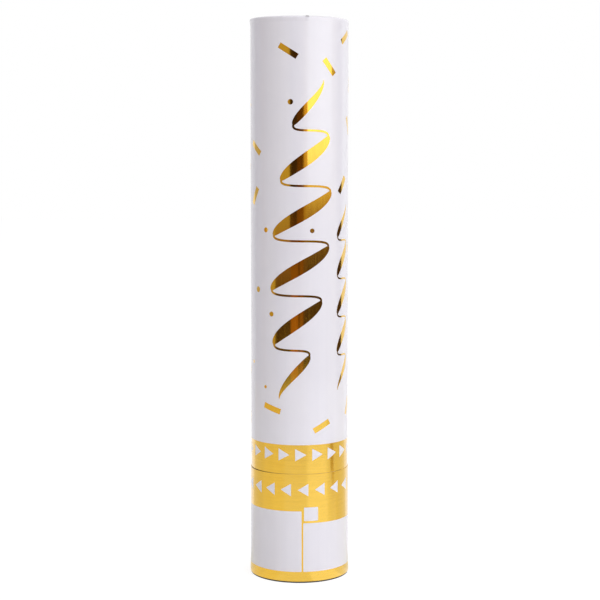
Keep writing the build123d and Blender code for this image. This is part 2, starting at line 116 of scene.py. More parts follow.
def own_place(tree):
    """Place on the object in its own coordinates, in metres."""
    return add_node(tree, "TexCoord").outputs["Object"]


def calculate(tree, operation, *values):
    """Output of a Math node."""
    return add_node(tree, "Math", dict(enumerate(values)), operation=operation).outputs[0]


def ramp(tree, value, start, stop, low=0.0, high=1.0):
    """Goes from low, where the value is start, to high, where it is stop, and no further."""
    limits = {"From Min": start, "From Max": stop, "To Min": low, "To Max": high}
    return add_node(tree, "MapRange", {"Value": value, **limits}).outputs[0]


def blend_colour(tree, mask, first, second):
    """Colour first where the mask is 0 and second where it is 1; first may be a socket."""
    if not isinstance(first, bpy.types.NodeSocket):
        first = (*first, 1.0)
    return add_node(tree, "Mix", {0: mask, 6: first, 7: (*second, 1.0)}, data_type="RGBA").outputs[2]


def bare_tree(owner):
    """Node tree of a material or a world, emptied."""
    owner.use_nodes = True
    owner.node_tree.nodes.clear()
    return owner.node_tree


print("node helpers ready")

# %% [markdown]
# ## White surroundings
# The object stands in a white sweep. Lamps bright enough to blow the background out would also burn the
# white paper, so Light Path tells the rays apart: the camera and mirrors see plain white, while the light
# that falls on the paper is a softer grey.

# %% World
PLAIN_WHITE = (1.0, 1.0, 1.0, 1.0)
FILL_TINT, FILL = (0.97, 0.95, 1.0, 1.0), 0.6  # tint and strength of the light that falls on the paper


def seen_directly(tree):
    """1 for rays that look at or mirror a surface, 0 for the light that it sheds on others."""
    rays = add_node(tree, "LightPath").outputs
    either = calculate(tree, "MAXIMUM", rays["Is Camera Ray"], rays["Is Glossy Ray"])
    return calculate(tree, "MAXIMUM", either, rays["Is Transmission Ray"])


world = bpy.data.worlds.new("white_room")
scene.world = world
tree = bare_tree(world)
fill = add_node(tree, "Background", {"Color": FILL_TINT, "Strength": FILL})
white = add_node(tree, "Background", {"Color": PLAIN_WHITE, "Strength": 1.0})
choice = add_node(tree, "MixShader", {0: seen_directly(tree), 1: fill.outputs[0], 2: white.outputs[0]})
add_node(tree, "OutputWorld", {"Surface": choice.outputs[0]})
print("world", world.name)

# %% [markdown]
# ## Floor
# A real sweep is a sheet of white card. As seen by the camera it glows a little, so that it meets the
# white world without an edge. The rest of its tone is diffuse shading, which keeps the soft shadow.

# %% Floor
FLOOR_HALF = 4.0  # half of the floor's width, in metres
CARD_GREY = (0.86, 0.86, 0.86, 1.0)
GLOW, GLOW_SHARE = 1.18, 0.74  # strength of the card's glow, and its share of what the camera sees


def stage_sheet(name, points, faces, finish):
    """A sheet that belongs to the studio and not to the popper."""
    mesh = bpy.data.meshes.new(name)
    mesh.from_pydata(points, [], faces)
    mesh.materials.append(finish)
    sheet = bpy.data.objects.new(name, mesh)
    scene.collection.objects.link(sheet)
    return sheet


sweep_card = bpy.data.materials.new("sweep_card")
tree = bare_tree(sweep_card)
lit = add_node(tree, "BsdfDiffuse", {"Color": CARD_GREY})
glow = add_node(tree, "Emission", {"Color": PLAIN_WHITE, "Strength": GLOW})
bright = add_node(tree, "MixShader", {0: GLOW_SHARE, 1: lit.outputs[0], 2: glow.outputs[0]})
seen = add_node(tree, "MixShader", {0: seen_directly(tree), 1: lit.outputs[0], 2: bright.outputs[0]})
add_node(tree, "OutputMaterial", {"Surface": seen.outputs[0]})
corners = [(FLOOR_HALF * x, FLOOR_HALF * y, 0.0) for x, y in ((-1, -1), (1, -1), (1, 1), (-1, 1))]
stage_sheet("floor", corners, [(0, 1, 2, 3)], sweep_card)
print("floor", 2 * FLOOR_HALF, "m wide")

# %% [markdown]
# ## Lamps
# White paper shows the light as a slow change of tone: here it is brightest to the right of the middle
# and greys towards the left. One large soft lamp stands to the right of the camera and a weak one
# overhead. They do not show in mirrors, because the foil gets cards of its own below.

# %% Lamps
LAMP_TARGET = Vector((0.0, 0.0, 0.14))  # about the middle of the tube, in metres


def soft_lamp(name, place, size, watts):
    """A square area lamp that faces the middle of the tube but is not seen itself."""
    light = bpy.data.lights.new(name, "AREA")
    light.size = size
    light.energy = watts
    lamp = bpy.data.objects.new(name, light)
    lamp.location = place
    towards = LAMP_TARGET - Vector(place)
    lamp.rotation_euler = towards.to_track_quat("-Z", "Y").to_euler()
    lamp.visible_camera = False
    lamp.visible_glossy = False
    scene.collection.objects.link(lamp)
    print(name, watts, "W")


soft_lamp("key_lamp", (0.85, -0.95, 0.55), size=0.8, watts=6.2)
soft_lamp("top_lamp", (0.2, 0.1, 1.3), size=0.6, watts=3.0)

# %% [markdown]
# ## Shared effect: height
# An effect that several materials use is built once, as a node group with named inputs and outputs, and
# then placed in each of them with its own values. The first is a mask by height: 0 at one height and 1 at
# another. The cards below need it for their glow, and the papers for creases near an edge.

# %% Make and place a group
def effect_group(name, inputs, output, nodes_of):
    """A node group with named inputs and the output that nodes_of(tree, given) makes of them."""
    group = bpy.data.node_groups.new(name, "ShaderNodeTree")
    for label, default in inputs.items():
        kind = "NodeSocketVector" if isinstance(default, tuple) else "NodeSocketFloat"
        group.interface.new_socket(label, in_out="INPUT", socket_type=kind).default_value = default
    group.interface.new_socket(output, in_out="OUTPUT", socket_type="NodeSocketFloat")
    given = group.nodes.new("NodeGroupInput").outputs
    group.links.new(nodes_of(group, given), group.nodes.new("NodeGroupOutput").inputs[output])
    print("group", name, list(inputs))
    return group


def effect(tree, group, **values):
    """Place a shared effect and give its output."""
    node = tree.nodes.new("ShaderNodeGroup")
    node.node_tree = group
    for label, value in values.items():
        node.inputs[label].default_value = value
    return node.outputs[0]


def height_nodes(tree, given):
    """0 at the height Start and 1 at the height Stop."""
    axes = add_node(tree, "SeparateXYZ", {0: own_place(tree)})
    return ramp(tree, axes.outputs["Z"], given["Start"], given["Stop"])


by_height = effect_group("by_height", {"Start": 0.0, "Stop": 1.0}, "Mask", height_nodes)

# %% [markdown]
# ## Reflection cards
# Polished foil has hardly any colour of its own: it shows the room, tinted gold. Photographers place
# cards and flags just for that. Here they are curved sheets on a ring round the popper, seen only in
# reflections. A card may change its glow with height, as a softbox does above the dark room below it.

# %% Glow of a card
def glow_finish(name, colour, low, high, change):
    """Emission that goes from strength low to strength high between the two heights in change."""
    finish = bpy.data.materials.new(name)
    tree = bare_tree(finish)
    mask = effect(tree, by_height, Start=change[0], Stop=change[1])
    glow = blend_colour(tree, mask, [low * c for c in colour], [high * c for c in colour])
    emission = add_node(tree, "Emission", {"Color": glow, "Strength": 1.0})
    add_node(tree, "OutputMaterial", {"Surface": emission.outputs[0]})
    return finish


print("card glow ready")

# %% Shape of a card
RING = 0.9  # radius of the ring of cards, in metres
TABLE_END = 0.67  # radius at which the table ends
CARD_STEP = 3.0  # degrees between two bends of a card


def around(angle, radius, height):
    """Place at an angle from the front, a distance from the axis and a height."""
    return Vector((radius * sin(angle), -radius * cos(angle), height))


def card(name, start, stop, colour, low, high, change=(0.0, 0.1), foot=(TABLE_END, 0.0), head=(RING, 0.8)):
    """A curved sheet from angle start to angle stop; foot and head are its edges as (radius, height)."""
    steps = max(2, round((stop - start) / CARD_STEP))
    points = []
    for i in range(steps + 1):
        angle = radians(start + (stop - start) * i / steps)
        points += [around(angle, radius, z) for radius, z in (foot, head)]
    faces = [(2 * i, 2 * i + 2, 2 * i + 3, 2 * i + 1) for i in range(steps)]
    sheet = stage_sheet(name, points, faces, glow_finish(name, colour, low, high, change))
    for rays in ("camera", "diffuse", "transmission", "shadow"):
        setattr(sheet, "visible_" + rays, False)
    return sheet


print("card shape ready")

# %% [markdown]
# ## The ring of cards
# An angle of 0 is behind the camera and positive angles go to the camera's right. From the left come
# grey walls with one bright slit, then the dark gap with the warm glow in front of the popper, then the
# softbox above its dark foot, and last the black stand of a lamp. The lower cards lean outwards from
# the table's end, so that no gap shows between the table and the room.

# %% Upright cards
WARM_GREY = (1.0, 0.8, 0.35)
PALE_GREY = (1.0, 0.94, 0.85)
DARK_ROOM = (1.0, 0.55, 0.35)
ORANGE = (1.0, 0.4, 0.06)
AMBER = (1.0, 0.66, 0.2)
WHITE = (1.0, 1.0, 1.0)
BOX_WHITE = (0.97, 0.965, 0.9)
MIDDLE = (RING, 0.13)  # edge between the lower and the upper cards
BOX_FOOT, BOX_RIM = (RING, 0.15), (RING, 0.185)
# Edges of the two parts of the stand's foot, which lies on the table.
FOOT_FAR, FOOT_NEAR, HEEL = (0.42, 0.0006), (0.29, 0.0006), (0.24, 0.0006)
# Angles from and to, tint, glow below and above, and the heights between which the glow changes.
cards = [
    card("left_room", -128, -100, PALE_GREY, 0.42, 0.55),
    card("left_wall", -100, -81, AMBER, 0.44, 0.5),
    card("left_slit", -81, -78.5, WHITE, 0.9, 1.1),
    card("left_card_low", -78.5, -58, WARM_GREY, 0.45, 0.5, head=MIDDLE),
    card("left_card", -78.5, -22, WARM_GREY, 0.42, 0.56, (0.14, 0.2), foot=MIDDLE),
    card("left_gap", -58, -20, DARK_ROOM, 0.055, 0.38, (0.07, 0.125), head=MIDDLE),
    card("camera_gap", -22, -5, DARK_ROOM, 0.04, 0.04, foot=MIDDLE),
    card("warm_left", -20, -3, ORANGE, 0.38, 0.22, (0.05, 0.1), head=MIDDLE),
    card("warm_line", -3, 1, ORANGE, 0.12, 0.12, head=MIDDLE),
    card("warm_middle", 1, 9, ORANGE, 0.28, 0.22, head=MIDDLE),
    card("warm_right", 9, 18.5, DARK_ROOM, 0.055, 0.14, (0.06, 0.1), head=MIDDLE),
    card("warm_high", -5, 10, ORANGE, 0.22, 0.1, (0.15, 0.205), foot=MIDDLE),
    card("warm_high_right", 10, 18.5, AMBER, 0.42, 0.7, (0.15, 0.205), foot=MIDDLE),
    card("under_softbox", 18.5, 80, DARK_ROOM, 0.065, 0.25, (0.105, 0.15), head=BOX_FOOT),
    card("softbox_rim", 18.5, 80, AMBER, 0.27, 0.85, (0.15, 0.185), foot=BOX_FOOT, head=BOX_RIM),
    card("softbox", 18.5, 80, BOX_WHITE, 1.1, 1.75, (0.185, 0.22), foot=BOX_RIM),
    card("softbox_edge", 80, 94, WARM_GREY, 0.4, 0.62, (0.05, 0.15)),
    card("stand", 94, 116, DARK_ROOM, 0.06, 0.06),
    card("stand_foot", 76, 86, ORANGE, 0.3, 0.3, foot=FOOT_NEAR, head=FOOT_FAR),
    card("stand_heel", 80, 86, AMBER, 0.6, 0.6, foot=HEEL, head=FOOT_NEAR),
]
print(len(cards), "upright cards")

# %% [markdown]
# ## Cards on the table
# The lowest foil looks down at the table, which a photograph shows as a bright, slightly warm sheet. Flat
# sectors lie there for it: brighter under the softbox, and duller from half a metre to the table's end.

# %% Table cards
TABLE_START = (0.027, 0.0003)  # just outside the grip, and just above the floor
TABLE_HALFWAY = (0.48, 0.0003)
TABLE_EDGE = (TABLE_END, 0.0003)
COOL_TABLE, WARM_TABLE, DULL_TABLE = (1.0, 1.02, 1.15), (1.0, 0.96, 0.76), (1.0, 0.86, 0.5)
# Angles from and to, tint and glow near the tube, tint and glow towards the table's end.
for start, stop, tint, glow, far_tint, far_glow in (
        (-130, -90, WARM_TABLE, 0.82, DULL_TABLE, 0.7),
        (-90, -62, WARM_TABLE, 0.9, DULL_TABLE, 0.76),
        (-62, -34, WARM_TABLE, 0.97, DULL_TABLE, 0.82),
        (-34, 18, WHITE, 1.0, WARM_TABLE, 0.88),
        (18, 66, COOL_TABLE, 1.18, WHITE, 1.02),
        (66, 90, WHITE, 1.0, WARM_TABLE, 0.92),
        (90, 130, WARM_TABLE, 0.9, WARM_TABLE, 0.85)):
    near = card("table", start, stop, tint, glow, glow, foot=TABLE_START, head=TABLE_HALFWAY)
    far = card("table_far", start, stop, far_tint, far_glow, far_glow, foot=TABLE_HALFWAY, head=TABLE_EDGE)
    cards += [near, far]
print(len(cards), "reflection cards in all")

# %% [markdown]
# ## Shared effect: grain
# Paper tooth, brushed metal, board fibres and moulded texture are all the same thing at different sizes:
# soft noise, more or less drawn out in one direction. A node group makes it once. Stretch squeezes the
# coordinates, so (1, 1, 0.03) gives streaks that run up the tube and (0.05, 0.05, 1) streaks around it.

# %% Grain group
def grain_nodes(tree, given):
    """Noise between Low and High."""
    drawn = add_node(tree, "VectorMath", {0: own_place(tree), 1: given["Stretch"]}, operation="MULTIPLY")
    noise = add_node(tree, "TexNoise", {"Vector": drawn.outputs[0], "Scale": given["Scale"],
                                        "Detail": 4.0, "Roughness": 0.6})
    return ramp(tree, noise.outputs["Fac"], 0.3, 0.7, given["Low"], given["High"])


grain = effect_group("grain", {"Scale": 500.0, "Stretch": (1.0, 1.0, 1.0), "Low": 0.0, "High": 1.0},
                     "Value", grain_nodes)

# %% [markdown]
# ## Shared effect: edge rub
# Corners of moulded and pressed pieces are rubbed paler than their faces. The Bevel node gives the normal
# as if the edges were rounded; where that differs from the true normal there is an edge. Noise breaks the
# mask up, because handling never rubs an edge evenly.

# %% Edge rub group
def rub_nodes(tree, given):
    """1 on rubbed patches of the edges."""
    rounded = add_node(tree, "Bevel", {"Radius": given["Width"]}, samples=4)
    surface = add_node(tree, "NewGeometry")
    alike = add_node(tree, "VectorMath", {0: rounded.outputs[0], 1: surface.outputs["Normal"]},
                     operation="DOT_PRODUCT")
    edge = ramp(tree, alike.outputs["Value"], 0.98, 0.8)
    patch = add_node(tree, "TexNoise", {"Vector": own_place(tree), "Scale": given["Patch Scale"],
                                        "Detail": 3.0})
    return calculate(tree, "MULTIPLY", edge, ramp(tree, patch.outputs["Fac"], 0.35, 0.65))


rub = effect_group("edge_rub", {"Width": 0.0006, "Patch Scale": 220.0}, "Mask", rub_nodes)

# %% [markdown]
# ## Specks
# A few tiny specks of dust and print show on white paper close up. Voronoi cells give one point per cell;
# only the cells with a high random value keep theirs, so the specks stay rare. They are a group as well,
# so that another finish could take them over.

# %% Specks group
def speck_nodes(tree, given):
    """1 on the specks."""
    spots = add_node(tree, "TexVoronoi", {"Vector": own_place(tree), "Scale": given["Scale"]})
    near = calculate(tree, "LESS_THAN", spots.outputs["Distance"], given["Size"])
    lot = add_node(tree, "SeparateColor", {0: spots.outputs["Color"]})
    chosen = calculate(tree, "GREATER_THAN", lot.outputs[0], given["Rarity"])
    return calculate(tree, "MULTIPLY", near, chosen)


specks = effect_group("specks", {"Scale": 130.0, "Size": 0.03, "Rarity": 0.86}, "Mask", speck_nodes)

# %% [markdown]
# ## Building a finish
# Each finish is one Principled shader. What is the same all over is written on the shader's own sockets,
# and only what changes over the surface is linked. One helper starts a finish with its plain values, and
# one links its colour, roughness and relief.

# %% Start a finish and link it
def new_finish(name, plain):
    """A material with one Principled shader; plain maps its sockets to values."""
    finish = bpy.data.materials.new(name)
    finish.use_nodes = True
    shader = finish.node_tree.nodes["Principled BSDF"]
    for socket, value in plain.items():
        shader.inputs[socket].default_value = value
    return finish, finish.node_tree, shader


def link_finish(tree, shader, colour, roughness, relief, depth):
    """Link what changes over the surface; relief is a height in shares of depth, which is in metres."""
    bump = add_node(tree, "Bump", {"Height": relief, "Strength": 1.0, "Distance": depth})
    for socket, value in (("Base Color", colour), ("Roughness", roughness), ("Normal", bump.outputs[0])):
        tree.links.new(value, shader.inputs[socket])


print("finish helpers ready")

# %% [markdown]
# ## White laminated paper
# The barrel is wrapped in printed paper under a clear gloss film, which is the shader's coat. The white is
# slightly lilac and a little mottled, with faint darker lines painted up the tube that stand in for the
# streaks of reflection in the film. Fine creases stand where the paper is turned over the rim. Where the
# fold is crumpled, a dark grey smudge is painted on as the shade inside the crumple.

# %% Colours of the paper
CRUMPLE = radians(9.2)  # where the fold at the rim is crumpled, with painted shade, as an angle from the front
CRUMPLE_IN, CRUMPLE_UP = 0.6, 0.4  # how far the middle of the painted shade lies inside the paper's face and above the rim, in mm
SHADE_CORE, SHADE_REACH = 0.8, 1.4  # how far from there the painted shade is full, and where it is gone, in mm
crumple_shade_place = around(CRUMPLE, BARREL - CRUMPLE_IN, RIM + CRUMPLE_UP)
white_paper, tree, shader = new_finish(
    "white_paper", {"Coat Weight": 0.7, "Coat Roughness": 0.05, "Specular IOR Level": 0.35})
mottle = blend_colour(tree, effect(tree, grain, Scale=90.0), (0.87, 0.852, 0.892), (0.845, 0.83, 0.877))
# Painted reflection: faint darker lines up the tube stand in for the streaks of reflection in the gloss
# film.
reflection_streaks = effect(tree, grain, Scale=260.0, Stretch=(1.0, 1.0, 0.008), High=0.7)
lined = blend_colour(tree, reflection_streaks, mottle, (0.828, 0.811, 0.856))
speckled = blend_colour(tree, effect(tree, specks), lined, (0.66, 0.64, 0.67))
# Painted shade: a dark smudge round the crumple stands in for the shade inside it, broken up by fine grain.
apart = add_node(tree, "VectorMath", {0: own_place(tree), 1: crumple_shade_place * MM}, operation="DISTANCE")
crumple_shade = ramp(tree, apart.outputs["Value"], SHADE_REACH * MM, SHADE_CORE * MM)
shade_breakup = effect(tree, grain, Scale=1100.0, Low=0.3, High=1.2)
crumple_shaded = blend_colour(tree, calculate(tree, "MULTIPLY", crumple_shade, shade_breakup), speckled, (0.2, 0.18, 0.19))
print("crack at", [round(c, 1) for c in crumple_shade_place], "mm")

# %% Gloss and relief of the paper
CREASE_START, CREASE_STOP = RIM - 0.8, RIM + 0.1  # heights between which the creases set in, in mm
gloss = effect(tree, grain, Scale=300.0, Low=0.3, High=0.42)
peel = effect(tree, grain, Scale=650.0)
creases = effect(tree, grain, Scale=700.0, Stretch=(1.0, 1.0, 0.05), High=8.0)
at_rim = effect(tree, by_height, Start=CREASE_START * MM, Stop=CREASE_STOP * MM)
relief = calculate(tree, "ADD", peel, calculate(tree, "MULTIPLY", creases, at_rim))
link_finish(tree, shader, crumple_shaded, gloss, relief, depth=3e-6)
print("finish", white_paper.name)

# %% [markdown]
# ## Gold foil
# Hot-stamped foil is a mirror of metal under clear lacquer, on slightly uneven paper. Its roughness
# wanders in fine streaks, and a very low grain makes it shimmer. The stamped print is streaked up the
# tube, the way it went through the press. The foil paper of the band and the grip is streaked around the
# tube, and near the table, where the tube is spread, it has crinkled.

# %% Gold foil
CRINKLE_TOP, CRINKLE_FOOT = 9.5, GRIP_FOOT + 0.4  # heights where crinkles are gone and full, in mm
FOIL_GLOSS = (0.75, 1.3)  # the roughness varies between these shares of its mean


def foil_finish(name, roughness, streak, crinkled):
    """Gold foil; streak stretches its fine lines and crinkled adds creases near the table."""
    finish, tree, shader = new_finish(name, {"Metallic": 1.0, "Coat Weight": 0.8, "Coat Roughness": 0.08})
    lines = effect(tree, grain, Scale=1400.0, Stretch=streak)
    tone = blend_colour(tree, lines, (0.88, 0.555, 0.065), (0.83, 0.505, 0.052))
    low, high = (roughness * share for share in FOIL_GLOSS)
    streaks = effect(tree, grain, Scale=1500.0, Stretch=streak, Low=low, High=high)
    relief = effect(tree, grain, Scale=2200.0)
    if crinkled:
        creases = effect(tree, grain, Scale=420.0, Stretch=(1.0, 1.0, 0.6), Low=30.0, High=0.0)
        foot = effect(tree, by_height, Start=CRINKLE_TOP * MM, Stop=CRINKLE_FOOT * MM)
        relief = calculate(tree, "ADD", relief, calculate(tree, "MULTIPLY", creases, foot))
    link_finish(tree, shader, tone, streaks, relief, depth=8e-7)
    return finish


stamped_foil = foil_finish("stamped_foil", roughness=0.12, streak=(1.0, 1.0, 0.04), crinkled=False)
foil_paper = foil_finish("foil_paper", roughness=0.2, streak=(0.04, 0.04, 1.0), crinkled=True)
print("finishes", stamped_foil.name, foil_paper.name)

# %% [markdown]
# ## Rolled board
# The tubes are rolled from grey board, and their cut ends show the plies as a fine spiral: the distance
# from the axis counts the plies, and the angle shifts the count by one ply for each turn. On a wall only
# the slow shift is left, as a soft change of tone.

# %% Plies group
def ply_nodes(tree, given):
    """1 on the thin lines between the plies."""
    axes = add_node(tree, "SeparateXYZ", {0: own_place(tree)}).outputs
    across = add_node(tree, "CombineXYZ", {"X": axes["X"], "Y": axes["Y"]})
    reach = add_node(tree, "VectorMath", {0: across.outputs[0]}, operation="LENGTH")
    count = calculate(tree, "DIVIDE", reach.outputs["Value"], given["Thickness"])
    turn = calculate(tree, "ARCTAN2", axes["X"], axes["Y"])
    spiral = calculate(tree, "MULTIPLY_ADD", turn, 1.0 / tau, count)
    return ramp(tree, calculate(tree, "PINGPONG", spiral, 0.5), 0.2, 0.0)


plies = effect_group("plies", {"Thickness": 0.00045}, "Mask", ply_nodes)

# %% Board
PLY_SHADE, RUB_SHADE = 0.6, 1.15  # tone of the lines between plies and of rubbed edges


def board_finish(name, light, dark):
    """Rolled or pressed board, with fibres from light to dark and rubbed edges."""
    finish, tree, shader = new_finish(name, {"Specular IOR Level": 0.25})
    fibres = effect(tree, grain, Scale=900.0, Stretch=(1.0, 1.0, 0.25))
    paper = blend_colour(tree, fibres, light, dark)
    lined = blend_colour(tree, effect(tree, plies), paper, [PLY_SHADE * c for c in dark])
    rubbed = blend_colour(tree, effect(tree, rub, Width=0.0004), lined, [RUB_SHADE * c for c in light])
    gloss = effect(tree, grain, Scale=500.0, Low=0.75, High=0.92)
    link_finish(tree, shader, rubbed, gloss, fibres, depth=2e-5)
    return finish


tube_board = board_finish("tube_board", (0.42, 0.35, 0.27), (0.33, 0.27, 0.2))
sleeve_board = board_finish("sleeve_board", (0.78, 0.72, 0.62), (0.68, 0.62, 0.52))
wad_board = board_finish("wad_board", (0.55, 0.45, 0.31), (0.46, 0.36, 0.24))
print("finishes", tube_board.name, sleeve_board.name, wad_board.name)

# %% [markdown]
# ## Moulded plastic
# The cap and the parts of the release are moulded. All share the same recipe with their own colour: a
# fine sparked texture from the mould, a slow change of gloss, and edges rubbed paler by assembly.

# %% Plastics
MOULD_GLOSS = (0.85, 1.15)  # the roughness varies between these shares of its mean


def moulded_finish(name, colour, rubbed, roughness, sheen=0.0, mottle=0.12):
    """Moulded plastic, paler where its edges are rubbed; mottle is how much its shade varies."""
    finish, tree, shader = new_finish(name, {"Sheen Weight": sheen})
    darker = [(1.0 - mottle) * c for c in colour]
    shade = blend_colour(tree, effect(tree, grain, Scale=240.0), colour, darker)
    worn = blend_colour(tree, effect(tree, rub), shade, rubbed)
    low, high = (roughness * share for share in MOULD_GLOSS)
    gloss = effect(tree, grain, Scale=120.0, Low=low, High=high)
    link_finish(tree, shader, worn, gloss, effect(tree, grain, Scale=2600.0), depth=6e-6)
    print("finish", name)
    return finish


black_plastic = moulded_finish("black_plastic", (0.018, 0.018, 0.02), (0.06, 0.06, 0.062), 0.45)
seat_plastic = moulded_finish("seat_plastic", (0.76, 0.73, 0.63), (0.82, 0.8, 0.72), 0.4)
latch_plastic = moulded_finish("latch_plastic", (0.55, 0.03, 0.02), (0.68, 0.12, 0.09), 0.38)
plug_plastic = moulded_finish("plug_plastic", (0.02, 0.045, 0.2), (0.08, 0.12, 0.33), 0.36)
cage_plastic = moulded_finish("cage_plastic", (0.6, 0.61, 0.62), (0.74, 0.74, 0.75), 0.42)
cover_white = moulded_finish("cover_white", (0.83, 0.82, 0.83), (0.88, 0.87, 0.88), 0.35, mottle=0.03)
seal_rubber = moulded_finish("seal_rubber", (0.02, 0.02, 0.021), (0.05, 0.05, 0.05), 0.7, sheen=0.15)

# %% [markdown]
# ## Drawn aluminium
# The air bottle is drawn from a slug of aluminium, and the die leaves fine lines up its wall. Grain that
# is stretched along the tube steers both the roughness and a low bump.

# %% Aluminium
UP_THE_WALL = (1.0, 1.0, 0.02)
bottle_metal, tree, shader = new_finish("bottle_metal", {"Metallic": 1.0})
lines = effect(tree, grain, Scale=3000.0, Stretch=UP_THE_WALL)
tone = blend_colour(tree, lines, (0.80, 0.80, 0.82), (0.70, 0.70, 0.72))
satin = effect(tree, grain, Scale=1200.0, Stretch=UP_THE_WALL, Low=0.25, High=0.4)
link_finish(tree, shader, tone, satin, lines, depth=1.5e-6)
print("finish", bottle_metal.name)

# %% [markdown]
# ## Dress the CAD solids
# Every solid whose shape is right stays as it is and only gets its finish. The table reads like a parts
# list: finish first, then the solids that share it. The grip's white panels are printed on it later.

# %% Assign finishes
dressed = {
    white_paper: ["barrel_wrap"],
    foil_paper: ["grip_wrap"],
    tube_board: ["barrel_tube", "grip_tube"],
    sleeve_board: ["guide_sleeve"],
    wad_board: ["pusher_wad"],
    black_plastic: ["base_cap"],
    bottle_metal: ["air_bottle"],
    seal_rubber: ["fill_bung", "neck_gasket", "plug_ring_lower", "plug_ring_upper"],
    seat_plastic: ["valve_seat"],
    latch_plastic: ["latch_collar"],
    plug_plastic: ["release_plug"],
    cage_plastic: ["release_cage", "gas_diffuser"],
}
for finish, names in dressed.items():
    for name in names:
        nodes[name].data.materials.clear()
        nodes[name].data.materials.append(finish)
print(sum(len(names) for names in dressed.values()), "solids dressed")

# %% [markdown]
# ## Printing on a round tube
# A label is designed flat and then rolled on. The same works for a mesh: fill each flat outline with
# triangles, join outlines that touch, and slice the sheet into narrow strips so that it can bend. A
# place on the flat sheet is (arc, height) in millimetres, with arc 0 at the front and positive arcs to
# the right.

# %% Fill and slice a flat print
FLAT_WELD = 1e-3  # points of a flat print nearer than this become one, in mm
CUT_SNAP = 0.01  # a cut goes through a point that is nearer than this, in mm
ACROSS, UP = Vector((1.0, 0.0, 0.0)), Vector((0.0, 1.0, 0.0))  # directions on the flat sheet


def fill_outlines(loops):
    """A flat mesh of triangles in the closed outlines, joined where they touch."""
    sheet = bmesh.new()
    for loop in loops:
        corners = [sheet.verts.new((arc, z, 0.0)) for arc, z in loop]
        for triangle in tessellate_polygon([[corner.co for corner in corners]]):
            face = sheet.faces.new([corners[i] for i in triangle])
            face.normal_update()
            if face.normal.z < 0.0:
                face.normal_flip()
    bmesh.ops.remove_doubles(sheet, verts=sheet.verts[:], dist=FLAT_WELD)
    return sheet


def slice_sheet(sheet, way, step):
    """Cut the sheet at every multiple of step along the direction way."""
    places = [v.co.dot(way) for v in sheet.verts]
    for k in range(floor(min(places) / step) + 1, ceil(max(places) / step)):
        bmesh.ops.bisect_plane(sheet, geom=[*sheet.verts, *sheet.edges, *sheet.faces], dist=CUT_SNAP,
                               plane_co=way * (k * step), plane_no=way)


print("flat prints ready")

# %% [markdown]
# ## Closing a print
# The rolled sheet gets an inner face and thin edges, so that it is a solid foil. Curved mirrors show every
# small error of a normal, so the normals are set to point straight out from the tube. Every new piece is
# hung on the body that it moves with, and its finish goes into its material slot.

# %% Close a print and hang a piece on its body
WELD = 1e-6  # points of a rolled print nearer than this become one, in metres
FACING = 0.7  # a face that looks outwards less than this is an edge of the print
SLOPE_REACH = 0.5  # the tube's slope is measured over this height up and down, in mm


def close_sheet(sheet, under):
    """Add the inner face, whose points are in under, and the edges between the two faces."""
    welded = bmesh.ops.find_doubles(sheet, verts=sheet.verts[:], dist=WELD)["targetmap"]
    bmesh.ops.weld_verts(sheet, targetmap=welded)
    outer = sheet.faces[:]
    rims = [edge.link_loops[0] for edge in sheet.edges if edge.is_boundary]
    inner = {v: sheet.verts.new(under[v]) for v in sheet.verts[:]}
    for face in outer:
        sheet.faces.new([inner[v] for v in reversed(face.verts)])
    for loop in rims:
        a, b = loop.vert, loop.link_loop_next.vert
        sheet.faces.new((b, a, inner[a], inner[b]))
    for face in sheet.faces:
        face.smooth = True


def point_outwards(mesh, radius_at):
    """Let the faces of a print shade as the tube does; its thin edges stay flat."""
    normals = []
    for face in mesh.polygons:
        for corner in face.loop_indices:
            x, y, z = mesh.vertices[mesh.loops[corner].vertex_index].co
            rise = radius_at(z / MM - SLOPE_REACH) - radius_at(z / MM + SLOPE_REACH)
            lean = rise / (2.0 * SLOPE_REACH)
            out = Vector((x, y, hypot(x, y) * lean)).normalized()
            facing = face.normal.dot(out)
            is_face = abs(facing) > FACING
            normals.append(copysign(1.0, facing) * out if is_face else face.normal.copy())
    mesh.normals_split_custom_set(normals)


def add_piece(name, shape, finish, body):
    """Make an object of a finished bmesh; it rides on a body and its material sits in a slot."""
    mesh = bpy.data.meshes.new(name)
    shape.to_mesh(mesh)
    shape.free()
    mesh.materials.append(finish)
    piece = bpy.data.objects.new(name, mesh)
    scene.collection.objects.link(piece)
    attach(piece, body)
    print(name, len(mesh.vertices), "points")
    return piece


print("closing helpers ready")

# %% Roll a print onto the tube
STRIP = radians(2.5)  # turn of one strip
ROW = 2.0  # height of one row where the tube is not straight, in mm
LIFT, SINK = 0.03, 0.03  # how far a print stands off the paper and reaches into it, in mm


def even_lift(arc):
    """Lift of a print that stands off the paper by the same amount everywhere."""
    return LIFT


def roll_on(name, loops, radius_at, finish, body, lift_at=even_lift):
    """Closed outlines become a thin foil that lies on the tube of radius_at(height)."""
    sheet = fill_outlines(loops)
    low, high = min(v.co.y for v in sheet.verts), max(v.co.y for v in sheet.verts)
    radius = radius_at(high)
    slice_sheet(sheet, ACROSS, STRIP * radius)
    if radius_at(low) != radius:
        slice_sheet(sheet, UP, ROW)
    under = {}
    for v in sheet.verts:
        arc, z = v.co.x, v.co.y
        under[v] = around(arc / radius, radius_at(z) - SINK, z) * MM
        v.co = around(arc / radius, radius_at(z) + lift_at(arc), z) * MM
    close_sheet(sheet, under)
    piece = add_piece(name, sheet, finish, body)
    point_outwards(piece.data, radius_at)
    return piece


print("print roller ready")

# %% [markdown]
# ## Gold band at the barrel's foot
# The band is one strip of foil all round, with white arrowheads where the foil is left out. Eighteen
# triangles stand at an even pitch and point to the right. One pitch is drawn as three outlines: the foil
# below the triangle, the notched foil beside it and the foil above it. Repeated, they join into a ring.

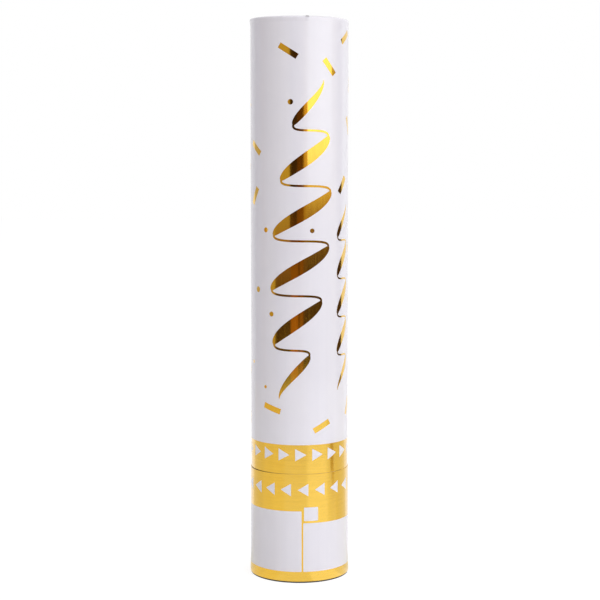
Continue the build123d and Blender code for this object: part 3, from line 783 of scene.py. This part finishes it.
# %% Barrel band
BAND_LOW, BAND_TOP = BARREL_FOOT + 0.02, 71.1  # heights of the band, in mm
NOTCH_LOW, NOTCH_TOP = 62.85, 69.2  # heights of the arrowheads
NOTCH_START, NOTCH_TURN = -185.0, 13.2  # angle of the first base, and from a base to its tip
ARROWS = 18
PITCH = 360.0 / ARROWS


def barrel_at(height):
    """Radius of the barrel's paper, the same at every height."""
    return BARREL


def arc_at(degrees, radius=BARREL):
    """Arc length in mm for an angle from the front."""
    return radians(degrees) * radius


def block(left, right, low, high):
    """Rectangle between two arcs and two heights."""
    return [(left, low), (right, low), (right, high), (left, high)]


band = []
for k in range(ARROWS):
    left, tip, right = (arc_at(NOTCH_START + PITCH * k + turn) for turn in (0.0, NOTCH_TURN, PITCH))
    beside = block(left, right, NOTCH_LOW, NOTCH_TOP) + [(tip, 0.5 * (NOTCH_LOW + NOTCH_TOP))]
    band += [block(left, right, BAND_LOW, NOTCH_LOW), beside, block(left, right, NOTCH_TOP, BAND_TOP)]
roll_on("barrel_band_foil", band, barrel_at, foil_paper, "barrel")

# %% [markdown]
# ## Streamers
# Up the front curls one broad paper streamer in gold, with a slim one beside it. A curled streamer shows
# its broad face where it crosses in front and only its edge where it turns back, so the stroke swells on
# the way to the right and is thin on the way back. Each stroke is cut into four-cornered pieces along
# its path, which the roller joins again. The same pair is printed once more on the back of the tube.

# %% Path of a streamer
SWELL_POWER = 0.8  # below 1, a streamer's broad face keeps its width for longer
# Foot and climb per turn are (arc, height). Swing goes to the sides, belly is swing added halfway up, bob
# is up and down. The width is edge where the streamer turns back, and swells on its face. All in mm.
broad = {"start": -0.25, "stop": 5.25, "pieces": 264,
         "foot": Vector((-4.0, 105.5)), "climb": Vector((2.0, 27.5)),
         "swing": 6.0, "belly": 9.0, "bob": 4.2, "edge": 1.1, "swell": 5.2}
slim = {"start": -0.25, "stop": 4.25, "pieces": 180,
        "foot": Vector((26.5, 106.0)), "climb": Vector((0.0, 19.5)),
        "swing": 4.4, "belly": 0.0, "bob": 3.2, "edge": 0.8, "swell": 2.9}


def curl_at(curl, turn):
    """Place of a streamer after a number of turns, and its width there."""
    angle = tau * turn
    share = (turn - curl["start"]) / (curl["stop"] - curl["start"])
    swing = curl["swing"] + curl["belly"] * sin(pi * share)
    place = curl["foot"] + curl["climb"] * turn + Vector((swing, curl["bob"])) * sin(angle)
    return place, curl["edge"] + curl["swell"] * max(0.0, cos(angle)) ** SWELL_POWER


print("streamers from", broad["foot"].y, "mm up")

# %% Streamer strokes
HALF_TURN = pi * BARREL  # arc from the front to the back
TINY = 1e-4  # part of a turn over which a direction is measured
TIP, TAPER = 0.2, 8.0  # share of its width at a streamer's ends, and how fast that grows
inked = []  # (arc, height, room) of everything printed on the barrel


def stroke(curl, shift):
    """A streamer as a row of four-cornered outlines, tapered at both ends and shifted round the tube."""
    edges = []
    for i in range(curl["pieces"] + 1):
        share = i / curl["pieces"]
        turn = curl["start"] + (curl["stop"] - curl["start"]) * share
        place, width = curl_at(curl, turn)
        ahead = curl_at(curl, turn + TINY)[0] - curl_at(curl, turn - TINY)[0]
        taper = min(1.0, TIP + TAPER * min(share, 1.0 - share))
        across = Vector((-ahead.y, ahead.x)).normalized() * (0.5 * width * taper)
        middle = place + Vector((shift, 0.0))
        edges.append((middle + across, middle - across))
        inked.append((middle.x, middle.y, 0.5 * width))
    return [[a[0], a[1], b[1], b[0]] for a, b in zip(edges, edges[1:])]


for side, shift in (("front", 0.0), ("back", HALF_TURN)):
    pieces = stroke(broad, shift) + stroke(slim, shift)
    roll_on("streamers_" + side, pieces, barrel_at, stamped_foil, "barrel")

# %% [markdown]
# ## Confetti dashes and dots
# Short gold dashes are scattered over the white paper like falling confetti. The ones on the front follow
# the real print; for the rest of the tube a seeded draw fills the space. A draw that lands too near
# earlier print or the paper's lap is thrown away. A few dots are drawn last, by the same rule.

# %% Keep marks apart
DASH_LENGTH, DASH_WIDTH, DASH_ROOM = 9.6, 2.9, 5.5  # room is kept free round a dash's middle, in mm
LAP_LOW, LAP_HIGH = 110.8, 114.6  # angles between which the paper's end lies on its start
# Middle as (arc, height), tilt in degrees and length.
dashes = [(-5.7, 268.4, -32, 10.8), (16.0, 260.7, -50, 9.6), (29.1, 275.9, 33, 9.6),
          (-26.5, 220.7, -37, 9.6), (-27.5, 196.6, 58, 9.6), (33.9, 232.0, -62, 9.6),
          (26.0, 202.1, 54, 9.6), (-14.8, 89.3, -16, 10.2), (11.8, 80.4, 27, 9.8), (33.4, 88.4, 62, 9.6)]
inked += [(arc, z, DASH_ROOM) for arc, z, tilt, length in dashes]


def is_clear(arc, z, room):
    """True if a mark with this much room round it keeps off the lap and all earlier print."""
    if arc_at(LAP_LOW) - room < arc < arc_at(LAP_HIGH) + room:
        return False
    for a, b, r in inked:
        apart = (arc - a + HALF_TURN) % (2 * HALF_TURN) - HALF_TURN
        if hypot(apart, z - b) < room + r:
            return False
    return True


print(len(dashes), "dashes on the front")

# %% Draw the other marks
ALL_DASHES, DASH_TILTS = 28, (-50, -30, -15, 30, 55)
DASH_ARCS, DASH_HEIGHTS = (36.0, 118.0), (80.0, 277.0)  # between which dashes are drawn, in mm
ALL_DOTS, DOT_HEIGHTS, DOT_RADII = 16, (98.0, 255.0), (0.8, 1.5)  # heights and radii in mm
DULL_LOW, DULL_HIGH = 15.0, 36.0  # arcs that mirror the dark stand: a dot there looks like dirt
DASH_SPARE, DOT_SPARE = 1.0, 2.5  # more room that a new mark needs, in mm
DOT_ROOM = 9.0  # room that a dot keeps free round its edge, in mm
MARK_SEED = 11  # fixes the draw
draw = random.Random(MARK_SEED)
while len(dashes) < ALL_DASHES:
    arc, z = draw.uniform(*DASH_ARCS), draw.uniform(*DASH_HEIGHTS)
    if is_clear(arc, z, DASH_ROOM + DASH_SPARE):
        dashes.append((arc, z, draw.choice(DASH_TILTS), DASH_LENGTH))
        inked.append((arc, z, DASH_ROOM))
dots = []
while len(dots) < ALL_DOTS:
    arc, z = draw.uniform(-HALF_TURN, HALF_TURN), draw.uniform(*DOT_HEIGHTS)
    radius = draw.uniform(*DOT_RADII)
    if is_clear(arc, z, radius + DOT_SPARE) and not DULL_LOW < arc < DULL_HIGH:
        dots.append((arc, z, radius))
        inked.append((arc, z, radius + DOT_ROOM))
print(len(dashes), "dashes and", len(dots), "dots")

# %% Stamp dashes and dots
DOT_CORNERS = 20


def dash(arc, z, tilt, length):
    """Outline of one dash about its middle."""
    along = Vector((cos(radians(tilt)), sin(radians(tilt)))) * (length / 2)
    across = Vector((-along.y, along.x)).normalized() * (DASH_WIDTH / 2)
    middle = Vector((arc, z))
    return [middle + p for p in (along + across, along - across, -along - across, -along + across)]


def dot(arc, z, radius):
    """Outline of a round dot."""
    turns = [tau * k / DOT_CORNERS for k in range(DOT_CORNERS)]
    return [(arc + radius * cos(turn), z + radius * sin(turn)) for turn in turns]


marks = [dash(*place) for place in dashes] + [dot(*place) for place in dots]
roll_on("gold_confetti_print", marks, barrel_at, stamped_foil, "barrel")

# %% [markdown]
# ## Print on the grip
# The grip's paper is gold all over, with white print on it: arrowheads that point to the left, two large
# label panels with softly rounded corners and one small box. The panels are left bare. Near the table the
# tube is spread by the cap, so the print follows the same arc that the solid has there.

# %% Shape of the grip and outlines for it
FLARE = 0.35  # how far the cap spreads the foot of the grip, in mm
GRIP = FLARED - FLARE  # radius of the paper where the grip is straight
FLARE_TOP = measure("base_cap")[2]
CORNER_STEPS = 4  # straight pieces in a rounded corner
FLARE_ARC = ((FLARE_TOP - GRIP_FOOT) ** 2 + FLARE**2) / (2.0 * FLARE)  # radius of the spread foot's arc


def grip_at(height):
    """Radius of the grip's paper, which flares out below FLARE_TOP."""
    drop = max(0.0, FLARE_TOP - height)
    return GRIP + FLARE_ARC - sqrt(FLARE_ARC**2 - drop**2)


def quarter_turns(start, steps):
    """Angles of a quarter turn from the angle start, which is in degrees."""
    return [radians(start + 90.0 * k / steps) for k in range(steps + 1)]


def panel(left, right, low, high, corner, lean):
    """Outline of a panel between two angles, with rounded corners; lean lowers its top's left end."""
    a, b = arc_at(left, GRIP) + corner, arc_at(right, GRIP) - corner
    foot, top = low + corner, high - corner
    outline = []
    for x, z, start in ((b, top, 0.0), (a, top - lean, 90.0), (a, foot, 180.0), (b, foot, 270.0)):
        for turn in quarter_turns(start, CORNER_STEPS):
            outline.append((x + corner * cos(turn), z + corner * sin(turn)))
    return outline


print("grip radius", GRIP, "mm, spread to", round(grip_at(GRIP_FOOT), 3), "at its foot")

# %% Grip print
ARROW_LOW, ARROW_TOP = 44.9, 51.3  # heights of the arrowheads, in mm
ARROW_START, ARROW_TURN = -169.7, -12.2  # angle of the first base, and from a base to its tip
arrows = []
for k in range(ARROWS):
    base, tip = (arc_at(ARROW_START + PITCH * k + turn, GRIP) for turn in (0.0, ARROW_TURN))
    arrows.append([(base, ARROW_LOW), (tip, 0.5 * (ARROW_LOW + ARROW_TOP)), (base, ARROW_TOP)])
roll_on("grip_arrows", arrows, grip_at, white_paper, "grip")
# Angles from and to, heights from and to, corner radius and lean.
panels = {"label_panel_left": (-150.0, 2.5, 5.8, 37.15, 0.5, 0.6),
          "label_panel_right": (4.45, 106.0, 5.8, 30.45, 0.5, -0.55),
          "label_box": (5.3, 21.9, 32.1, 39.1, 0.3, 0.0)}
for name, measures in panels.items():
    roll_on(name, [panel(*measures)], grip_at, white_paper, "grip")

# %% [markdown]
# ## Folded edge of the grip's paper
# The foil paper is turned over the top edge of the grip, so the seam between grip and barrel is lined by a
# thin bright edge and not by raw board. The edge is a small profile, turned once round the tube's axis.
# At the front its slant mirrors the sky, so the seam hardly shows; on the left it is lower and a gap opens.

# %% Turn a profile round the axis
SHARP = radians(30.0)  # edges that bend more than this stay sharp
RING_WELD = 1e-7  # points nearer than this become one, in metres


def turned(name, profile_at, finish, body, sides):
    """A ring; profile_at(angle) lists its (radius, height) points in mm, anticlockwise."""
    ring = bmesh.new()
    rows = []
    for k in range(sides):
        angle = tau * k / sides
        rows.append([ring.verts.new(around(angle, r, z) * MM) for r, z in profile_at(angle)])
    for row, after in zip(rows, rows[1:] + rows[:1]):
        for i in range(len(row)):
            ring.faces.new((row[i - 1], after[i - 1], after[i], row[i])).smooth = True
    bmesh.ops.remove_doubles(ring, verts=ring.verts[:], dist=RING_WELD)
    piece = add_piece(name, ring, finish, body)
    piece.data.set_sharp_from_angle(angle=SHARP)
    return piece


print("ring maker ready")

# %% Folded edge at the seam
EDGE_INSIDE, EDGE_OUT = GRIP - 0.8, GRIP - 0.04  # radii between which the folded edge lies
EDGE_FOOT = GRIP_TOP - 0.05
SEAM, SEAM_LEAN = 0.03, 0.36  # gap between edge and barrel, and what it gains on the left, in mm
SLANT, FRONT_SLANT = 0.06, 0.24  # width of the slant, and what it gains at the front, in mm
SLANT_TURN = radians(3.0)  # the slant is widest this far to the right of the front
LEAN_POWER, SLANT_POWER = 2, 8  # a higher power keeps the gain to a shorter stretch
EDGE_SIDES = 180  # straight pieces round the tube


def seam_edge_at(angle):
    """Profile of the folded edge, which nearly closes the seam."""
    top = BARREL_FOOT - SEAM - SEAM_LEAN * max(0.0, -sin(angle)) ** LEAN_POWER
    slant = SLANT + FRONT_SLANT * max(0.0, cos(angle - SLANT_TURN)) ** SLANT_POWER
    slope = [(EDGE_OUT, top - slant), (EDGE_OUT - slant, top)]
    return [(EDGE_INSIDE, EDGE_FOOT), (EDGE_OUT, EDGE_FOOT), *slope, (EDGE_INSIDE, top)]


turned("grip_paper_edge", seam_edge_at, foil_paper, "grip", EDGE_SIDES)

# %% [markdown]
# ## Paper turned over the rim
# At the muzzle the paper is pulled over the edge of the tube and pressed down inside it. Paper cannot
# shrink, so what is left over rises in small pleats, and the edge is higher on one side than on the
# other. The fold is a thin skin on the rim of the solid: a profile from the outside over the top to the
# inside, pushed outwards by an amount that changes with the angle.

# %% Pleats
FOLD_LIFT, FOLD_LEAN = 0.24, 0.5  # mean height of the fold above the rim, and how far it leans, in mm
FOLD_MOST = 0.64  # the fold is nowhere higher than this
PLEATS, PLEAT_HALVES, PLEAT_HEIGHTS = 26, (1.5, 4.0), (0.08, 0.2)  # half widths in degrees, heights in mm
CRUMPLE_HALF, CRUMPLE_HEIGHT = radians(3.6), 0.5  # of the crumpled pleat, on which shade is painted
PLEAT_SEED = 7  # fixes the draw
crease_draw = random.Random(PLEAT_SEED)
pleats = [(CRUMPLE, CRUMPLE_HALF, CRUMPLE_HEIGHT)]
for k in range(PLEATS):
    half = radians(crease_draw.uniform(*PLEAT_HALVES))
    pleats.append((crease_draw.uniform(0.0, tau), half, crease_draw.uniform(*PLEAT_HEIGHTS)))


def fold_lift(angle):
    """Height of the fold above the rim at an angle from the front, in mm."""
    pleat = 0.0
    for place, half, height in pleats:
        apart = (angle - place + pi) % tau - pi
        if abs(apart) < half:
            pleat = max(pleat, height * cos(0.5 * pi * apart / half) ** 2)
    return min(FOLD_MOST, max(0.0, FOLD_LIFT - FOLD_LEAN * sin(angle)) + pleat)


print("fold", round(fold_lift(-0.5 * pi), 2), "mm high on the left")

# %% Fold
LID, LID_FOOT, LID_TOP = measure("muzzle_cover")
MUZZLE = LID + 0.2  # radius of the paper inside the rim, clear of the lid
ROUND, ROUND_STEPS = 0.8, 6  # radius of the rim's two edges, and straight pieces in each
FOLD_OUTSIDE, FOLD_INSIDE = RIM - 2.2, RIM - 3.0  # heights at which the fold ends
SIDE_SHARE = 0.3  # share of the lift where the outer edge begins to round
FOLD_SIDES = 480  # straight pieces round the tube


def fold_at(angle):
    """Profile of the fold: its skin from the outside to the inside, and back just under the paper."""
    lift = fold_lift(angle)
    course = [(BARREL, FOLD_OUTSIDE, 0.0, 0.0)]  # radius, height, way of the push, share of the lift
    for way in quarter_turns(0.0, ROUND_STEPS):
        course.append((BARREL - ROUND + ROUND * cos(way), RIM - ROUND + ROUND * sin(way), way,
                       min(1.0, SIDE_SHARE + sin(way))))
    for way in quarter_turns(90.0, ROUND_STEPS):
        course.append((MUZZLE + ROUND + ROUND * cos(way), RIM - ROUND + ROUND * sin(way), way,
                       sin(way) ** 2))
    course.append((MUZZLE, FOLD_INSIDE, pi, 0.0))
    skin, back = [], []
    for r, z, way, share in course:
        push = LIFT + share * lift
        skin.append((r + push * cos(way), z + push * sin(way)))
        back.append((r - SINK * cos(way), z - SINK * sin(way)))
    return skin + back[::-1]


turned("muzzle_fold", fold_at, white_paper, "barrel", FOLD_SIDES)

# %% [markdown]
# ## Lid of the muzzle
# The lid is pushed into the muzzle and flies off ahead of the slips. A moulded lid is not quite flat: its
# middle is sunk a little, and the gate through which the mould was filled leaves a small round mark. The
# solid in CAD is a plain cup of the same size, so a turned profile with these marks stands in its place.

# %% Lid
LID_WALL, LID_ROUND = 1.2, 0.6  # thickness, and radius of the outer edge
SUNK, SUNK_DEPTH = 18.5, 0.35  # radius and depth of the sunk middle
GATE, GATE_HEIGHT = 1.2, 0.15  # radius and height of the gate mark
LID_SIDES = 180  # straight pieces round the lid


def lid_at(angle):
    """Profile of the lid: up its side, over its top to the axis and back inside."""
    middle = LID_TOP - SUNK_DEPTH
    side, crown = LID - LID_ROUND, LID_TOP - LID_ROUND
    turns = quarter_turns(0.0, CORNER_STEPS)
    edge = [(side + LID_ROUND * cos(turn), crown + LID_ROUND * sin(turn)) for turn in turns]
    step = [(SUNK + SUNK_DEPTH, LID_TOP), (SUNK, middle)]
    gate = [(GATE + GATE_HEIGHT, middle), (GATE, middle + GATE_HEIGHT), (0.0, middle + GATE_HEIGHT)]
    inside = [(0.0, middle - LID_WALL), (LID - LID_WALL, middle - LID_WALL), (LID - LID_WALL, LID_FOOT)]
    return [(LID, LID_FOOT), *edge, *step, *gate, *inside]


lid = turned("muzzle_lid", lid_at, cover_white, "cover", LID_SIDES)
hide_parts("muzzle_cover")

# %% [markdown]
# ## The paper's lap
# A sheet that is rolled round a tube has to end somewhere: its edge lies on its own start, out of sight on
# one side. The lap is a thin wedge, flush where it begins and a paper's thickness high at the free edge.

# %% Laps
LAP_START, LAP_RISE = 0.04, 0.1  # lift where the lap begins, and what it gains to its free edge
LAP_GAP, FLARE_GAP = 0.05, 0.2  # space kept free at the end of a lap and above the spread foot, in mm


def lap_lift(arc):
    """Rise of the lap above the paper, in mm, across its width."""
    share = (arc - arc_at(LAP_LOW)) / (arc_at(LAP_HIGH) - arc_at(LAP_LOW))
    return LAP_START + LAP_RISE * max(0.0, min(1.0, share))


def add_lap(name, low, high, radius_at, finish, body):
    """One stretch of the lap, between two heights."""
    outline = block(arc_at(LAP_LOW), arc_at(LAP_HIGH), low, high)
    roll_on(name, [outline], radius_at, finish, body, lap_lift)


add_lap("barrel_lap", BAND_TOP, FOLD_OUTSIDE, barrel_at, white_paper, "barrel")
add_lap("barrel_lap_foil", BAND_LOW, BAND_TOP - LAP_GAP, barrel_at, foil_paper, "barrel")
add_lap("grip_lap_foil", FLARE_TOP + FLARE_GAP, GRIP_TOP - LAP_GAP, grip_at, foil_paper,
        "grip")

# %% [markdown]
# ## Confetti slips
# The charge is slips of gold film and white tissue, stacked on edge in three tiers. In CAD each bundle is
# one block; here every slip is its own thin sheet. Packed slips follow each other, so the bow changes
# slowly from one to the next, and only their ends are out of line. The bundles keep the places and sizes
# of the blocks, which fill a circle: two wide ones side by side and a thin one on either side of them,
# with a gold and a white half in each tier.

# %% Slip measures
wad_radius, wad_foot, wad_top = measure("pusher_wad")
CHARGE = wad_radius - 0.3  # radius of the whole charge, in mm
SLIP_LENGTH, SLIP_WIDTH, SLIP_GAP = 38.0, 17.0, 0.3
BUNDLE_HALF = sqrt(CHARGE**2 - (SLIP_WIDTH + SLIP_GAP / 2) ** 2)  # half the depth of a wide bundle
SIDE_START = BUNDLE_HALF + SLIP_GAP
SIDE_STOP = sqrt(CHARGE**2 - (SLIP_WIDTH / 2) ** 2)
TIERS, TIER_TURN = 3, 60.0  # number of tiers, and turn from one to the next in degrees
TIER_START, TIER_PITCH = wad_top + 0.1, SLIP_LENGTH + 0.7  # foot of the lowest tier, and tier to tier
print("wad from", wad_foot, "to", wad_top, "mm")
print("wide bundles", round(2 * BUNDLE_HALF, 2), "mm deep, thin ones", round(SIDE_STOP - SIDE_START, 2))

# %% One slip
SLIP_STEP, SLIP_THICK = 0.46, 0.34  # pitch of the slips in a bundle, and thickness of each, in mm
SLIP_SIDES = (-1.0, 0.0, 1.0)  # columns of points across a slip, in half widths
SLIP_ROWS = 5  # rows of points along it


def border(grid):
    """The points round the edge of a grid, in order."""
    return grid[0] + [row[-1] for row in grid[1:]] + grid[-1][-2::-1] + [row[0] for row in grid[-2:0:-1]]


def add_slip(mesh, origin, wide, deep, half_width, length, bow, tilt):
    """One slip: a thin sheet, bowed along its length and closed on all sides."""
    front, back = [], []
    for grid, thick in ((front, 0.0), (back, SLIP_THICK)):
        for along in [r / (SLIP_ROWS - 1) for r in range(SLIP_ROWS)]:
            bulge = bow * 4.0 * along * (1.0 - along)
            middle = origin + Vector((0.0, 0.0, length * along)) + deep * (bulge + thick)
            points = [middle + (wide * half_width + deep * tilt) * side for side in SLIP_SIDES]
            grid.append([mesh.verts.new(point * MM) for point in points])
    for r in range(SLIP_ROWS - 1):
        for c in range(len(SLIP_SIDES) - 1):
            mesh.faces.new((front[r][c], front[r][c + 1], front[r + 1][c + 1], front[r + 1][c]))
            mesh.faces.new((back[r][c], back[r + 1][c], back[r + 1][c + 1], back[r][c + 1]))
    before, behind = border(front), border(back)
    for k in range(len(before)):
        mesh.faces.new((before[k], before[k - 1], behind[k - 1], behind[k]))


print("slips of", SLIP_LENGTH, "by", SLIP_WIDTH, "mm")

# %% Stack the slips
BOW, WAVE = 0.22, 0.35  # largest bow in mm, and how fast it changes from slip to slip
MARGIN = 0.3  # space kept free at both faces of a bundle
# Ranges of the draw for each slip: how far it stands up, is narrower and is shorter, and its tilt, in mm.
RAISED, NARROWER, SHORTER, TILTED = (0.02, 0.42), (0.02, 0.3), (0.0, 0.25), (-0.015, 0.015)


def slip_stacks(name, side_turn, finish, replaced):
    """All slips of one colour, as one piece in place of their CAD blocks."""
    shake = random.Random(len(name))
    mesh = bmesh.new()
    for tier in range(TIERS):
        turn = radians(TIER_TURN * tier + side_turn)
        wide = Vector((cos(turn), sin(turn), 0.0))
        deep = Vector((-sin(turn), cos(turn), 0.0))
        foot = Vector((0.0, 0.0, TIER_START + TIER_PITCH * tier))
        for middle, start, stop in ((0.5 * (SLIP_GAP + SLIP_WIDTH), -BUNDLE_HALF, BUNDLE_HALF),
                                    (0.0, SIDE_START, SIDE_STOP)):
            phase = shake.uniform(0.0, tau)
            for k in range(int((stop - start - 2 * MARGIN) / SLIP_STEP)):
                bow = BOW * sin(phase + WAVE * k)
                origin = foot + wide * middle + deep * (start + MARGIN + SLIP_STEP * k)
                origin.z += shake.uniform(*RAISED)
                half_width = SLIP_WIDTH / 2 - shake.uniform(*NARROWER)
                length = SLIP_LENGTH - shake.uniform(*SHORTER)
                add_slip(mesh, origin, wide, deep, half_width, length, bow, shake.uniform(*TILTED))
    piece = add_piece(name, mesh, finish, "payload")
    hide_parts(replaced)


print("slip stacker ready")

# %% [markdown]
# ## Slip finishes
# Each slip should have a tone of its own, because slips are cut from different sheets. Random Per Island
# gives every loose sheet in a mesh one random value. Gold film gets slow dents and a mirror's metal; tissue
# gets a soft, rough white with fine wrinkles.

# %% Slips in gold and white
def slip_finish(name, plain, light, dark, gloss, wrinkles):
    """A finish that goes from light to dark from slip to slip; gloss and wrinkles are grain values."""
    finish, tree, shader = new_finish(name, plain)
    each = add_node(tree, "NewGeometry").outputs["Random Per Island"]
    link_finish(tree, shader, blend_colour(tree, each, light, dark), effect(tree, grain, **gloss),
                effect(tree, grain, **wrinkles), depth=2e-5)
    return finish


gold_film = slip_finish("gold_film", {"Metallic": 1.0}, (0.9, 0.56, 0.1), (0.8, 0.46, 0.06),
                        {"Scale": 90.0, "Low": 0.13, "High": 0.2},
                        {"Scale": 45.0, "Stretch": (1.0, 1.0, 0.4)})
tissue = slip_finish("tissue", {"Specular IOR Level": 0.2, "Sheen Weight": 0.1}, (0.86, 0.85, 0.86),
                     (0.78, 0.77, 0.79), {"Scale": 600.0, "Low": 0.7, "High": 0.9}, {"Scale": 520.0})
slip_stacks("gold_slip_stack", 0.0, gold_film, "gold_slips")
slip_stacks("white_slip_stack", 180.0, tissue, "white_slips")
